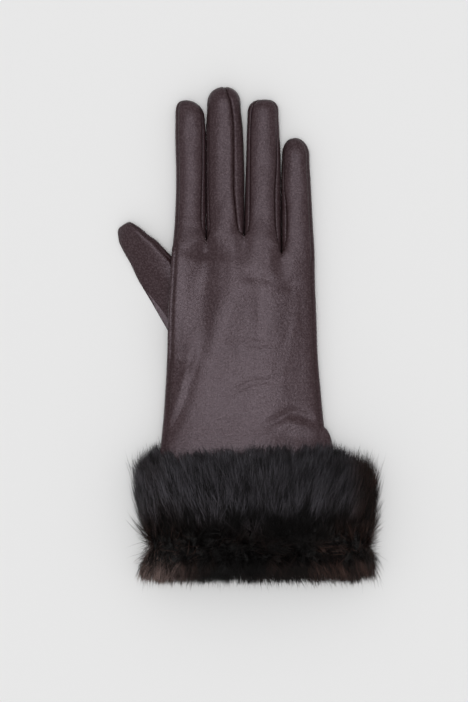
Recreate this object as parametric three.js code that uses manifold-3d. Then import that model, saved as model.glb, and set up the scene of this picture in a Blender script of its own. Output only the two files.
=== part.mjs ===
// A right-hand dress glove of thin dark brown leather with a deep fur cuff, lying palm down.
// Millimetres. +Z is up, +Y runs from the cuff to the fingertips, and +X from the thumb's side
// to the little finger's. The origin is in the middle of the palm, on its flat underside.

import * as THREE from "three";
import { mergeVertices } from "three/addons/utils/BufferGeometryUtils.js";
import Module from "manifold-3d";

const wasm = await Module();
wasm.setup();

// Driving sizes
const WALL = 1.2; // leather
const SEAM_GAP = 0.3; // between two pieces that are sewn together
const CUFF_END = -142;
const MOUTH_CUT = 12; // how far a cut through the cuff runs past its end
const FLATTENING = 0.9; // how far each oval would reach below the surface that it rests on
const HAND_POINTS = 24; // round a ring of the hand
const HAND_SQUARENESS = 4.2;
const HAND_RINGS = 15;
const CROWDING = 0.76; // below 1, the hand's rings lie closer together towards the knuckles
const FINGER_POINTS = 12;
const FINGER_SQUARENESS = 2.5;
const FINGER_ROOT = 14; // each finger's tube starts this far up, inside the hand
const FINGER_RINGS = [FINGER_ROOT, 40, 56, 78, 102, 120]; // as many as its length takes
const CAP_CLEARANCE = 3; // of the last of those rings from the fingertip's cap
const CAP_DEGREES = [0, 28, 52, 70, 84];
const THUMB_POINTS = 12;

// The leather hand from the cuff's end to the knuckles: its side edges seen from above, and its
// lowest and highest point.
const HAND_ROWS = [
  { y: CUFF_END, left: -51, right: 50, bottom: 5, top: 18 },
  { y: -100, left: -50, right: 49.5, bottom: 5, top: 18 },
  { y: -82, left: -49, right: 49, bottom: 4.2, top: 17.4 },
  { y: -64, left: -47, right: 48.5, bottom: 2, top: 16 },
  { y: -48, left: -45.5, right: 47, bottom: 0.2, top: 15.2 },
  { y: -35, left: -44.7, right: 45.8, bottom: 0, top: 15 },
  { y: -12, left: -43.4, right: 44, bottom: 0, top: 15 },
  { y: 10, left: -43, right: 43.3, bottom: 0, top: 15 },
  { y: 26, left: -42, right: 42.6, bottom: 0, top: 14.6 },
  { y: 38, left: -41.2, right: 42.3, bottom: 0, top: 13 },
  { y: 56, left: -40, right: 41.5, bottom: 0.5, top: 10.6 },
];

// Where the hand ends and the gaps between the fingers begin
const KNUCKLE_HALF_WIDTH = 42;
const KNUCKLE_LINE = [
  { x: -41, y: 47 },
  { x: -20.9, y: 50.5 },
  { x: 1, y: 53.4 },
  { x: 22.7, y: 42.9 },
  { x: 42.3, y: 38 },
];

const FINGERS = [
  {
    name: "index",
    tip: { x: -32, y: 134 },
    capLength: 12,
    bluntness: 2.5,
    thickness: 13,
    rows: [
      { y: FINGER_ROOT, left: -40.6, right: -21.3 },
      { y: 50, left: -40, right: -21.3 },
      { y: 64, left: -39, right: -21.4 },
      { y: 87, left: -38.3, right: -21.3 },
      { y: 115, left: -38.9, right: -21.3 },
      { y: 122, left: -38.8, right: -21.6 },
    ],
  },
  {
    name: "middle",
    tip: { x: -10, y: 141.5 },
    capLength: 10,
    bluntness: 2.3,
    thickness: 14,
    rows: [
      { y: FINGER_ROOT, left: -20.4, right: 0.6 },
      { y: 53, left: -20.4, right: 0.6 },
      { y: 67, left: -20.5, right: 1.1 },
      { y: 87, left: -20.6, right: 1.3 },
      { y: 115, left: -20.6, right: 0.6 },
      { y: 131.5, left: -20.2, right: -0.6 },
    ],
  },
  {
    name: "ring",
    tip: { x: 13, y: 134.2 },
    capLength: 8.5,
    bluntness: 2.8,
    thickness: 13.6,
    rows: [
      { y: FINGER_ROOT, left: 1.4, right: 22.3 },
      { y: 53, left: 1.4, right: 22.3 },
      { y: 75, left: 2, right: 22.3 },
      { y: 98, left: 2.2, right: 22.3 },
      { y: 115, left: 2.6, right: 21.9 },
      { y: 125.5, left: 3.1, right: 21.3 },
    ],
  },
  {
    name: "little",
    tip: { x: 30.3, y: 112 },
    capLength: 10.5,
    bluntness: 2,
    thickness: 12.6,
    rows: [
      { y: FINGER_ROOT, left: 23.1, right: 42.6 },
      { y: 43, left: 23.1, right: 42.3 },
      { y: 64, left: 23.2, right: 41.2 },
      { y: 87, left: 23.2, right: 40 },
      { y: 101.5, left: 23.4, right: 39.3 },
    ],
  },
];

// Soft folds on the back of the hand: where, how long and wide, the way they run in degrees
// from +X, and how deep. A negative depth is a ridge.
const FOLDS = [
  { x: -27, y: 37, long: 11, wide: 4.5, turn: 4, depth: 1.3 },
  { x: -16, y: 18, long: 26, wide: 6, turn: 78, depth: 1.7 },
  { x: -26, y: -22, long: 20, wide: 5, turn: 68, depth: 1.2 },
  { x: -33, y: 6, long: 26, wide: 6, turn: 88, depth: -0.9 },
  { x: 28, y: -54, long: 16, wide: 4, turn: -8, depth: 1.6 },
  { x: -39, y: -48, long: 22, wide: 3.5, turn: 66, depth: 0.9 },
  { x: 10, y: 32, long: 7, wide: 4, turn: 10, depth: 0.6 },
];

// The thumb from its tip to its root inside the palm: each row is one section, from its left
// end to its right end seen from above, with its lowest and highest point.
const THUMB_ROWS = [
  { leftX: -71.2, leftY: 58.6, rightX: -66.4, rightY: 62.4, bottom: 2.8, top: 7 },
  { leftX: -72.1, leftY: 56, rightX: -62.8, rightY: 62, bottom: 0.9, top: 8.8 },
  { leftX: -71.7, leftY: 51.8, rightX: -59.2, rightY: 59.8, bottom: 0.1, top: 9.8 },
  { leftX: -69.2, leftY: 46.2, rightX: -54.2, rightY: 55.6, bottom: 0, top: 10.4 },
  { leftX: -65.2, leftY: 39.2, rightX: -49.6, rightY: 52.4, bottom: 0, top: 10.6 },
  { leftX: -60.4, leftY: 29.2, rightX: -45.2, rightY: 47.8, bottom: 0, top: 10 },
  { leftX: -53.4, leftY: 17.4, rightX: -39.5, rightY: 41.5, bottom: 0, top: 8.4 },
  { leftX: -45, leftY: 2.8, rightX: -33, rightY: 34, bottom: 0, top: 7.2 },
  { leftX: -38.5, leftY: -8, rightX: -27.5, rightY: 24, bottom: 0, top: 8.4 },
  { leftX: -30, leftY: -14, rightX: -20, rightY: 14, bottom: 2.2, top: 11 },
];
const THUMB_SQUARENESS = 2.3;

// The palm is lifted where the thumb is folded under it.
const THUMB_LIFT = { height: 7.8, raise: 1.4, fromX: -20, toX: -34, low: -14, high: 44, fade: 14 };

// The folded gusset at the outer side of the wrist, from its point down into the fur
const GUSSET_POINTS = 12;
const GUSSET_SQUARENESS = 2.2;
const GUSSET_ROOT_X = 40; // its open side, inside the hand
const GUSSET_PLEAT = 0.45;
const GUSSET_ROWS = [
  { y: -54, right: 47.9, bottom: 5.6, top: 8.8 },
  { y: -58, right: 50.5, bottom: 4.2, top: 11 },
  { y: -61.5, right: 52.2, bottom: 3.8, top: 12 },
  { y: -65, right: 53, bottom: 3.8, top: 13 },
  { y: -68.5, right: 53.5, bottom: 4, top: 13.8 },
  { y: -86, right: 53.2, bottom: 5.5, top: 15.5 },
];

// The fur's ground along the cuff: its two sides seen from above, its lowest and highest point.
// What would lie below 0 is pressed flat on the surface.
const FUR_POINTS = 20;
const FUR_SQUARENESS = 2.5;
const FUR_SLANT = { rise: 4.5, at: 60, from: -104, over: 28 }; // of its upper edge, to the right
const FUR_ROWS = [
  { y: -146.5, left: -49.5, right: 65, bottom: -1, top: 24 },
  { y: -143, left: -55.5, right: 71.5, bottom: -2.5, top: 28.5 },
  { y: -134, left: -59.5, right: 75, bottom: -2.5, top: 30.5 },
  { y: -126, left: -53, right: 75, bottom: -2.5, top: 25.5 },
  { y: -118, left: -56.5, right: 74.5, bottom: -2.5, top: 28 },
  { y: -106, left: -59.5, right: 75, bottom: -2.5, top: 31 },
  { y: -94, left: -59.5, right: 74, bottom: -2.5, top: 30.5 },
  { y: -85, left: -58, right: 67.5, bottom: -2, top: 27.5 },
  { y: -78, left: -55, right: 60.5, bottom: -0.5, top: 24 },
  { y: -74, left: -51.5, right: 55.5, bottom: 1.2, top: 20.5 },
];

// The locks that stand on it: a positive length points to the fingers, a negative one away
const LOCK_SUNK = 2.4; // of a lock's root, in the ground
const LOCK_THICKNESS = 6;
const LOCK_TAPER = 0.84; // of its width and thickness, from its root to its tip
const LOCK_CURL = 2.4; // how far a lock's tip bends back to the ground
const LOWEST_LOCK = -0.8; // the sine of its angle round the cuff
const LOCK_UNEVENNESS = { turn: 2.4, rowTurn: 1.7, shift: 1.5, angleShare: 0.2, lengthShare: 0.2 };
const LOCK_ROWS = [
  { y: -131, count: 16, length: -17, lean: 8.6, width: 21 },
  { y: -116, count: 16, length: 19, lean: 8.6, width: 21 },
  { y: -98, count: 16, length: 18, lean: 8.6, width: 21 },
  { y: -82, count: 16, length: 12, lean: 6.6, width: 18 },
];

// The sewn-in strips between the fingers
const SEAM_AT = 0.78; // of a finger's half width, from its middle line to the seam
const SEAM_AT_CROTCH = 0.88;
const SEAM_CURVE = 14; // the seams close in on the crotch over this length
const CROTCH_DEPTH = 3.6; // of the strip's point below the crotch
const STRIP_SHORT_OF_TIP = 3;
const PRISM = { bottom: -2, top: 30 };

function smooth(t) {
  const s = THREE.MathUtils.clamp(t, 0, 1);
  return s * s * (3 - 2 * s);
}

const mix = THREE.MathUtils.lerp;

// One column of a table at a place between its rows, by a smooth curve that never overshoots
function along(rows, key, column, at) {
  const last = rows.length - 1;
  if (at <= rows[0][key]) return rows[0][column];
  if (at >= rows[last][key]) return rows[last][column];
  const i = rows.findIndex((row, k) => k < last && at < rows[k + 1][key]);
  const slope = (k) => {
    if (k <= 0 || k >= last) return 0;
    const before = (rows[k][column] - rows[k - 1][column]) / (rows[k][key] - rows[k - 1][key]);
    const after = (rows[k + 1][column] - rows[k][column]) / (rows[k + 1][key] - rows[k][key]);
    return before * after <= 0 ? 0 : (2 * before * after) / (before + after);
  };
  const span = rows[i + 1][key] - rows[i][key];
  const t = (at - rows[i][key]) / span;
  const t2 = t * t;
  const t3 = t2 * t;
  return (
    (2 * t3 - 3 * t2 + 1) * rows[i][column] +
    (t3 - 2 * t2 + t) * span * slope(i) +
    (3 * t2 - 2 * t3) * rows[i + 1][column] +
    (t3 - t2) * span * slope(i + 1)
  );
}

// A flattened oval: for each point, how far across it lies from -1 to 1, and how far up
function oval(count, squareness) {
  return Array.from({ length: count }, (_, k) => {
    const angle = (2 * Math.PI * k) / count;
    const across = Math.cos(angle);
    const rise = (1 - Math.abs(across) ** squareness) ** (1 / squareness);
    return { across, up: Math.sin(angle) < 0 ? -rise : rise };
  });
}

// The height of an oval's point between a floor and a roof, pressed flat on the floor
function pressed(up, floor, roof) {
  const half = (roof - floor) / 2;
  const middle = (roof + floor) / 2;
  return Math.max(floor, middle - FLATTENING / 2 + up * (half + FLATTENING / 2));
}

// A closed solid through rings of points, each ring joined to the next. Its ends are closed by
// strips from each ring's upper points to the lower ones under them.
function loft(rings) {
  const count = rings[0].length;
  const faces = [];
  for (let r = 0; r + 1 < rings.length; r++) {
    for (let k = 0; k < count; k++) {
      const a = r * count + k;
      const b = r * count + ((k + 1) % count);
      faces.push(a, b, a + count, b, b + count, a + count);
    }
  }
  for (const [first, turned] of [[0, false], [(rings.length - 1) * count, true]]) {
    for (let k = 0; k < count / 2; k++) {
      const up = [first + k, first + k + 1];
      const down = [first + ((count - k) % count), first + count - k - 1];
      const sides = [[up[0], down[0], up[1]], [up[1], down[0], down[1]]];
      for (const [a, b, c] of sides) {
        if (a !== b && b !== c && a !== c) faces.push(...(turned ? [a, c, b] : [a, b, c]));
      }
    }
  }
  const geometry = new THREE.BufferGeometry().setFromPoints(rings.flat());
  geometry.setIndex(faces);
  return geometry;
}

// A closed geometry as a solid that can be joined and cut
function solid(geometry) {
  geometry.deleteAttribute("normal");
  geometry.deleteAttribute("uv");
  const merged = mergeVertices(geometry, 1e-4);
  const made = new wasm.Manifold(
    new wasm.Mesh({
      numProp: 3,
      vertProperties: merged.attributes.position.array,
      triVerts: new Uint32Array(merged.index.array),
    }),
  );
  if (made.volume() > 0) return made;
  const turned = merged.index.array.slice().reverse();
  return new wasm.Manifold(
    new wasm.Mesh({
      numProp: 3,
      vertProperties: merged.attributes.position.array,
      triVerts: new Uint32Array(turned),
    }),
  );
}

// How far the thumb below lifts the palm at a place, from 0 to 1
function overThumb(x, y) {
  const { fromX, toX, low, high, fade } = THUMB_LIFT;
  const sideways = smooth((x - fromX) / (toX - fromX));
  return sideways * smooth((y - low) / fade + 1) * smooth((high - y) / fade + 1);
}

// The depth of all the folds at a place on the back of the hand
function foldDepth(x, y) {
  return FOLDS.reduce((sum, { x: cx, y: cy, long, wide, turn, depth }) => {
    const angle = THREE.MathUtils.degToRad(turn);
    const u = (x - cx) * Math.cos(angle) + (y - cy) * Math.sin(angle);
    const v = -(x - cx) * Math.sin(angle) + (y - cy) * Math.cos(angle);
    return sum + depth * Math.exp(-((u / long) ** 2) - (v / wide) ** 2);
  }, 0);
}

// The hand without its fingers, taken in by a distance all round, from a place in the cuff to
// the knuckles
function palmSolid(inset, start = CUFF_END) {
  const shape = oval(HAND_POINTS, HAND_SQUARENESS);
  const rings = Array.from({ length: HAND_RINGS + 1 }, (_, r) =>
    shape.map(({ across, up }) => {
      const share = (r / HAND_RINGS) ** CROWDING;
      const end = along(KNUCKLE_LINE, "x", "y", across * KNUCKLE_HALF_WIDTH) - inset;
      const y = mix(start, end, share);
      const left = along(HAND_ROWS, "y", "left", y) + inset;
      const right = along(HAND_ROWS, "y", "right", y) - inset;
      const x = mix(left, right, (across + 1) / 2);
      const lift = overThumb(x, y);
      const floor = along(HAND_ROWS, "y", "bottom", y) + lift * THUMB_LIFT.height + inset;
      const fold = foldDepth(x, y) * Math.max(0, up);
      const roof = along(HAND_ROWS, "y", "top", y) + lift * THUMB_LIFT.raise - inset - fold;
      return new THREE.Vector3(x, y, pressed(up, floor, roof));
    }),
  );
  return solid(loft(rings));
}

// One finger, taken in by a distance: a tube along its rows, and a rounded cap
function fingerSolid({ rows, tip, capLength, bluntness, thickness }, inset) {
  const shape = oval(FINGER_POINTS, FINGER_SQUARENESS);
  const capStart = tip.y - capLength;
  const ringAt = (y, shrink, drift) => {
    const at = Math.min(y, capStart);
    const left = along(rows, "y", "left", at) + inset;
    const right = along(rows, "y", "right", at) - inset;
    const centre = mix((left + right) / 2, tip.x, drift);
    const half = (thickness / 2 - inset) * shrink;
    return shape.map(({ across, up }) => {
      const x = centre + (across * shrink * (right - left)) / 2;
      const lift = overThumb(x, y);
      const floor = thickness / 2 - half + lift * THUMB_LIFT.height;
      const roof = thickness / 2 + half + lift * THUMB_LIFT.raise;
      return new THREE.Vector3(x, y, pressed(up, floor, roof));
    });
  };
  const body = FINGER_RINGS.filter((y) => y < capStart - CAP_CLEARANCE).map((y) => ringAt(y, 1, 0));
  const cap = CAP_DEGREES.map((degrees) => {
    const angle = THREE.MathUtils.degToRad(degrees);
    const rise = Math.sin(angle);
    const y = capStart + (capLength - inset) * rise;
    return ringAt(y, (1 - rise ** bluntness) ** (1 / bluntness), rise ** 2);
  });
  return solid(loft([...body, ...cap]));
}

// The thumb, taken in by a distance. Its root inside the palm stays open.
function thumbSolid(inset) {
  const shape = oval(THUMB_POINTS, THUMB_SQUARENESS);
  const rings = THUMB_ROWS.map(({ leftX, leftY, rightX, rightY, bottom, top }, r) => {
    const across = new THREE.Vector2(rightX - leftX, rightY - leftY);
    const width = across.length();
    across.normalize();
    const half = width / 2 - inset;
    const back = r === 0 ? inset : 0;
    const centreX = (leftX + rightX) / 2 + back * across.y;
    const centreY = (leftY + rightY) / 2 - back * across.x;
    return shape.map(({ across: share, up }) => {
      const off = share * half;
      const z = pressed(up, bottom + inset, top - inset);
      return new THREE.Vector3(centreX + off * across.x, centreY + off * across.y, z);
    });
  });
  return solid(loft(rings));
}

// The hand with its four fingers, taken in by a distance. The inner one runs out of the cuff,
// so that cutting it away leaves the mouth open.
function handSolid(inset) {
  return FINGERS.map((finger) => fingerSolid(finger, inset)).reduce(
    (joined, finger) => joined.add(finger),
    palmSolid(inset, CUFF_END - (inset > 0 ? MOUTH_CUT : 0)),
  );
}

// The folded leather gusset at the outer side of the wrist, taken in by a distance. Its lower
// end, in the fur, stays open.
function gussetSolid(inset) {
  const shape = oval(GUSSET_POINTS, GUSSET_SQUARENESS);
  const ends = { 0: -inset, [GUSSET_ROWS.length - 1]: -Math.abs(inset) };
  const rings = GUSSET_ROWS.map(({ y, right, bottom, top }, r) => {
    const end = ends[r] ?? 0;
    const pleat = GUSSET_PLEAT * Math.cos(r * Math.PI);
    return shape.map(({ across, up }) => {
      const x = mix(GUSSET_ROOT_X, right + pleat - inset, (across + 1) / 2);
      const z = (bottom + top) / 2 + up * ((top - bottom) / 2 - inset);
      return new THREE.Vector3(x, y + end, z);
    });
  });
  return solid(loft(rings.reverse()));
}

// A place on the fur's ground, from the cuff's row at a height y and an angle round it
function furPoint(y, angle, out) {
  const [left, right, bottom, top] = ["left", "right", "bottom", "top"].map((column) =>
    along(FUR_ROWS, "y", column, y),
  );
  const across = Math.cos(angle);
  const up = Math.sin(angle);
  const reach = (Math.abs(across) ** FUR_SQUARENESS + Math.abs(up) ** FUR_SQUARENESS) **
    (-1 / FUR_SQUARENESS);
  const x = (left + right) / 2 + across * reach * ((right - left) / 2 + out);
  const z = (bottom + top) / 2 + up * reach * ((top - bottom) / 2 + out);
  const slant = smooth((y - FUR_SLANT.from) / FUR_SLANT.over) * FUR_SLANT.rise * up;
  return new THREE.Vector3(x, y + (slant * x) / FUR_SLANT.at, z);
}

function pressFlat(points) {
  points.forEach((p) => p.setZ(Math.max(0, p.z)));
  return points;
}

// The fur's ground: the thick ring that its locks stand on
function furGround() {
  const angles = Array.from({ length: FUR_POINTS }, (_, k) => (2 * Math.PI * k) / FUR_POINTS);
  return solid(loft(FUR_ROWS.map(({ y }) => pressFlat(angles.map((a) => furPoint(y, a, 0))))));
}

// One lock of fur: a pointed four-sided blade that leaves the ground at a low angle
function lockSolid(y, angle, { lean, length, width }) {
  const root = furPoint(y, angle, -LOCK_SUNK);
  const outward = furPoint(y, angle, 1).sub(furPoint(y, angle, 0)).normalize();
  const run = new THREE.Vector3(0, Math.sign(length), 0);
  const sideways = new THREE.Vector3().crossVectors(run, outward).normalize();
  const rings = [0, 0.5, 1].map((share) => {
    const rise = lean * share - LOCK_CURL * share ** 2;
    const centre = root.clone();
    centre.addScaledVector(outward, rise).addScaledVector(run, Math.abs(length) * share);
    const half = (width / 2) * (1 - LOCK_TAPER * share ** 2);
    const thick = (LOCK_THICKNESS / 2) * (1 - LOCK_TAPER * share);
    const corners = [[half, 0], [0, thick], [-half, 0], [0, -thick]];
    return pressFlat(
      corners.map(([side, up]) =>
        centre.clone().addScaledVector(sideways, side).addScaledVector(outward, up),
      ),
    );
  });
  return solid(loft(rings));
}

// The ground with every lock joined on, without the tiny hollows that crossing locks enclose.
// No lock stands on the underside, where the fur is pressed flat.
function furSolid() {
  let fur = furGround();
  const { turn, rowTurn, shift, angleShare, lengthShare } = LOCK_UNEVENNESS;
  LOCK_ROWS.forEach((row, r) => {
    for (let k = 0; k < row.count; k++) {
      const uneven = Math.sin(k * turn + r * rowTurn);
      const angle = (2 * Math.PI * (k + (r % 2) / 2 + angleShare * uneven)) / row.count;
      if (Math.sin(angle) < LOWEST_LOCK) continue;
      const length = row.length * (1 + lengthShare * Math.cos(2 * k * turn + r * rowTurn));
      fur = fur.add(lockSolid(row.y + shift * uneven, angle, { ...row, length }));
    }
  });
  return fur.decompose().reduce((a, b) => (b.volume() > a.volume() ? b : a));
}

// Where the seam on one side of a finger runs: side is -1 on its left and 1 on its right
function seamX({ rows, tip, capLength, bluntness }, side, y, crotchY) {
  const capStart = tip.y - capLength;
  const at = Math.min(y, capStart);
  const left = along(rows, "y", "left", at);
  const right = along(rows, "y", "right", at);
  const rise = Math.max(0, y - capStart) / capLength;
  const shrink = (1 - rise ** bluntness) ** (1 / bluntness);
  const centre = mix((left + right) / 2, tip.x, rise ** 2);
  const share = mix(SEAM_AT_CROTCH, SEAM_AT, smooth((y - crotchY) / SEAM_CURVE));
  return centre + (side * share * shrink * (right - left)) / 2;
}

// The upright prism over the gap between two fingers that holds their sewn-in strip
function stripPrism(leftFinger, rightFinger, grown) {
  const gapX = (leftFinger.rows[1].right + rightFinger.rows[1].left) / 2;
  const crotchY = along(KNUCKLE_LINE, "x", "y", gapX);
  const edge = (finger, side) => {
    const end = finger.tip.y - STRIP_SHORT_OF_TIP + grown;
    const steps = 12;
    return Array.from({ length: steps + 1 }, (_, k) => {
      const y = mix(crotchY, end, k / steps);
      return new THREE.Vector2(seamX(finger, side, y, crotchY) - side * grown, y);
    });
  };
  const up = edge(leftFinger, 1);
  const down = edge(rightFinger, -1).reverse();
  const topLeft = new THREE.Vector2(gapX, up[up.length - 1].y);
  const topRight = new THREE.Vector2(gapX, down[0].y);
  const point = new THREE.Vector2(gapX, crotchY - CROTCH_DEPTH - grown);
  const outline = new THREE.Shape([point, ...up, topLeft, topRight, ...down].reverse());
  const depth = PRISM.top - PRISM.bottom;
  const prism = new THREE.ExtrudeGeometry(outline, { depth, bevelEnabled: false });
  prism.translate(0, 0, PRISM.bottom);
  return solid(prism);
}

const LEATHER = new THREE.MeshStandardMaterial({ color: 0x3a2a2b, roughness: 0.42 });
const FUR = new THREE.MeshStandardMaterial({ color: 0x171315, roughness: 0.7 });

function nodeOf(name, made, material) {
  const { numProp, vertProperties, triVerts } = made.getMesh();
  const geometry = new THREE.BufferGeometry();
  geometry.setAttribute("position", new THREE.BufferAttribute(vertProperties, numProp));
  geometry.setIndex(new THREE.BufferAttribute(triVerts, 1));
  geometry.computeVertexNormals();
  const mesh = new THREE.Mesh(geometry, material);
  mesh.name = name;
  return mesh;
}

const glove = new THREE.Group();

const outerHand = handSolid(0);
const handShell = outerHand.subtract(handSolid(WALL));
let trank = handShell.subtract(thumbSolid(WALL));
for (let k = 0; k + 1 < FINGERS.length; k++) {
  const [a, b] = [FINGERS[k], FINGERS[k + 1]];
  const strip = handShell.intersect(stripPrism(a, b, 0));
  trank = trank.subtract(stripPrism(a, b, SEAM_GAP));
  glove.add(nodeOf(`fourchette_${a.name}_${b.name}`, strip, LEATHER));
}
const roundHand = handSolid(-SEAM_GAP);
const thumb = thumbSolid(0).subtract(thumbSolid(WALL)).subtract(roundHand);
const gusset = gussetSolid(0).subtract(gussetSolid(WALL)).subtract(roundHand);
const throughFur = palmSolid(-SEAM_GAP, CUFF_END - MOUTH_CUT).add(gussetSolid(-SEAM_GAP));
glove.add(nodeOf("trank", trank, LEATHER));
glove.add(nodeOf("thumb", thumb, LEATHER));
glove.add(nodeOf("side_gusset", gusset, LEATHER));
glove.add(nodeOf("fur_cuff", furSolid().subtract(throughFur), FUR));

export default glove;
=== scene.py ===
"""A right-hand dress glove of thin dark leather with a deep fur cuff, lying palm down.

Sizes in tables are millimetres and meshes are metres. +Z is up out of the back of the hand, +Y
runs from the cuff to the fingertips, and +X from the thumb's side to the little finger's.
"""

import math

import bmesh
import bpy
import numpy as np
from bpy.props import FloatProperty, FloatVectorProperty, IntProperty, PointerProperty
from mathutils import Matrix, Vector


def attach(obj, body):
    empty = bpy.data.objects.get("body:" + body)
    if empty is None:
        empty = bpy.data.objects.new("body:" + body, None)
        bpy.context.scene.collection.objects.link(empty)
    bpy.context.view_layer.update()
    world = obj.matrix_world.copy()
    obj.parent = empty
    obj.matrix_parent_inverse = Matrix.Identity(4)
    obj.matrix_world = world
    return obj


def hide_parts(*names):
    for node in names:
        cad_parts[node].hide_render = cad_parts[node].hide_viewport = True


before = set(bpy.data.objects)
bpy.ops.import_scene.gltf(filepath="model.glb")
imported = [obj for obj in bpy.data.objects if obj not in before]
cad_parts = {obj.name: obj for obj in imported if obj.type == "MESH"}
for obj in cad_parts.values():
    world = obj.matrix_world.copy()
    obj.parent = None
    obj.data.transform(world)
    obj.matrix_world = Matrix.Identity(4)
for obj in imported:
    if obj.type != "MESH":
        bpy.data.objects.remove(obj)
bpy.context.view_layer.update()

bl_info = {
    "name": "Fur Cuffed Leather Glove",
    "version": (1, 0, 0),
    "blender": (4, 5, 0),
    "location": "View3D > Sidebar > Glove",
    "description": "Makes a leather dress glove with a fur cuff over its packed solids",
    "category": "Add Mesh",
}

MM = 0.001
TINY = 1e-6  # keeps a division from one by nothing
PHOTO_WIDTH, PHOTO_HEIGHT = 468, 702
PHOTO_MM_PER_PIXEL = 0.58
PHOTO_ORIGIN_X, PHOTO_ORIGIN_Y = 242, 330  # the middle of the palm, in the photo's pixels


def table(names, *rows, as_given=()):
    """The columns of a short table by name, as arrays: millimetres made metres, apart from the
    columns that hold no lengths and stay as given."""
    columns = {name: np.array(column, float) for name, column in zip(names.split(), zip(*rows))}
    return {name: values if name in as_given else MM * values for name, values in columns.items()}


def in_metres(**sizes):
    """Sizes given in millimetres, by name."""
    return {name: MM * size for name, size in sizes.items()}


HAND = table(
    "y left right bottom top",
    (-141.6, -50.9, 49.9, 5.1, 17.9),
    (-100, -49.9, 49.4, 5.1, 17.9),
    (-82, -48.9, 48.9, 4.3, 17.1),
    (-64, -46.9, 48.4, 2, 16.1),
    (-48, -45.4, 46.9, 0.2, 15.1),
    (-35, -44.6, 45.7, 0, 14.9),
    (-12, -43.3, 43.9, 0, 14.9),
    (10, -42.9, 43.2, 0, 14.9),
    (26, -41.9, 42.5, 0, 14.8),
    (38, -41.2, 42.3, 0, 14.5),
    (60, -40, 42, 0, 13.9),
)
KNUCKLES = table("x y", (-41, 47), (-20.6, 51.2), (1.2, 54.2), (22.9, 43.9), (42.3, 38))
CROTCHES = KNUCKLES["x"][1:4]

# Each finger's sides, then its tip, cap and thickness
FINGERS = {
    "index": table(
        "y left right",
        (30, -40.8, -20.7),
        (50, -40, -20.75),
        (64, -39, -20.9),
        (87, -38.3, -20.86),
        (115, -38.8, -21),
        (122, -38.7, -21.6),
    ),
    "middle": table(
        "y left right",
        (30, -20.6, 1.1),
        (53, -20.65, 1.15),
        (67, -20.75, 1.35),
        (87, -20.8, 1.4),
        (115, -20.8, 0.6),
        (131.5, -20.2, -0.8),
    ),
    "ring": table(
        "y left right",
        (30, 1.2, 22.7),
        (53, 1.25, 22.75),
        (75, 1.65, 22.65),
        (98, 2.4, 22.5),
        (115, 2.8, 21.8),
        (125.5, 3.2, 21.3),
    ),
    "little": table(
        "y left right",
        (20, 22.8, 42.5),
        (43, 22.85, 42.2),
        (64, 22.8, 41.1),
        (87, 22.8, 39.9),
        (101.5, 23.3, 39.2),
    ),
}
TIPS = {
    "index": in_metres(x=-32.5, y=133.6, cap=11.6, thickness=12.8),
    "middle": in_metres(x=-10.4, y=141.3, cap=10, thickness=13.8),
    "ring": in_metres(x=12.8, y=134, cap=8.6, thickness=13.4),
    "little": in_metres(x=30.6, y=111.8, cap=10.4, thickness=12.4),
}
TIP_BLUNTNESS = {"index": 2.4, "middle": 2.2, "ring": 2.6, "little": 2}

# Where the seams run on the upper side, seen from above, up each side of a finger
SEAMS = {
    ("index", 1): table(
        "y x", (52, -20.6), (58, -22.2), (66, -23.2), (78, -23), (95, -22.4), (134, -22.4)
    ),
    ("middle", -1): table("y x", (52, -20.6), (60, -19.3), (70, -19.9), (85, -20.2), (142, -20.2)),
    ("middle", 1): table(
        "y x",
        (54, 1.2),
        (56, -1.2),
        (61, -2.6),
        (70, -3.6),
        (83, -4.8),
        (118, -4.9),
        (130, -6.2),
        (142, -8.7),
    ),
    ("ring", -1): table(
        "y x", (54, 1.2), (56, 2.7), (61, 3.7), (70, 4.1), (102, 4.1), (126, 4.9), (135, 6)
    ),
    ("ring", 1): table(
        "y x", (44, 22.9), (52, 21.4), (62, 19.6), (78, 19.4), (100, 20.6), (135, 20.6)
    ),
    ("little", -1): table(
        "y x", (44, 22.9), (46, 24.2), (52, 25.1), (61, 25.7), (71, 25.4), (86, 23.6), (112, 23.6)
    ),
}
NAMES = list(FINGERS)

HAND_SQUARENESS = {-1: 3.3, 1: 2.6}  # on its left and right side
FINGER_SQUARENESS = 2.25
FLATTENING = 0.9 * MM  # how far an oval would reach below what it rests on
PRESS_ROUNDING = 0.35 * MM
LOWER_SEAM = 0.8  # of a finger's half width, on its underside
OUTER_SEAM = 0.86  # the same for the upper seams of the index and little finger's outer sides
LEAST_SEAM, MOST_SEAM = 0.1, 0.985  # how near a finger's middle or side an upper seam may run
LEFT_EDGE, RIGHT_EDGE = 0.026, 0.976  # of the hand's width, where its side walls start
TOP_COLUMNS, SIDE_COLUMNS, UNDER_COLUMNS = 22, 10, 12
FUR_ROWS_SHARE, FUR_ROWS = 0.36, 18  # the hand's rows under the fur are further apart
HAND_GRID_ROWS, FINGER_GRID_ROWS, CAP_GRID_ROWS = 104, 62, 14
KNUCKLE_BLEND, KNUCKLE_HEIGHT_BLEND = 3.6 * MM, 15 * MM
CROTCH_BLEND = 9 * MM
WEB_SAG = 1.2 * MM  # how far a crotch's upright edge bows towards the cuff
VALLEY_LENGTH, VALLEY_WIDTH, VALLEY_DEPTH = 30 * MM, 4.6 * MM, 1.7 * MM
VALLEY_POWER = 1.6  # higher keeps a valley nearer to its crotch

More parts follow.
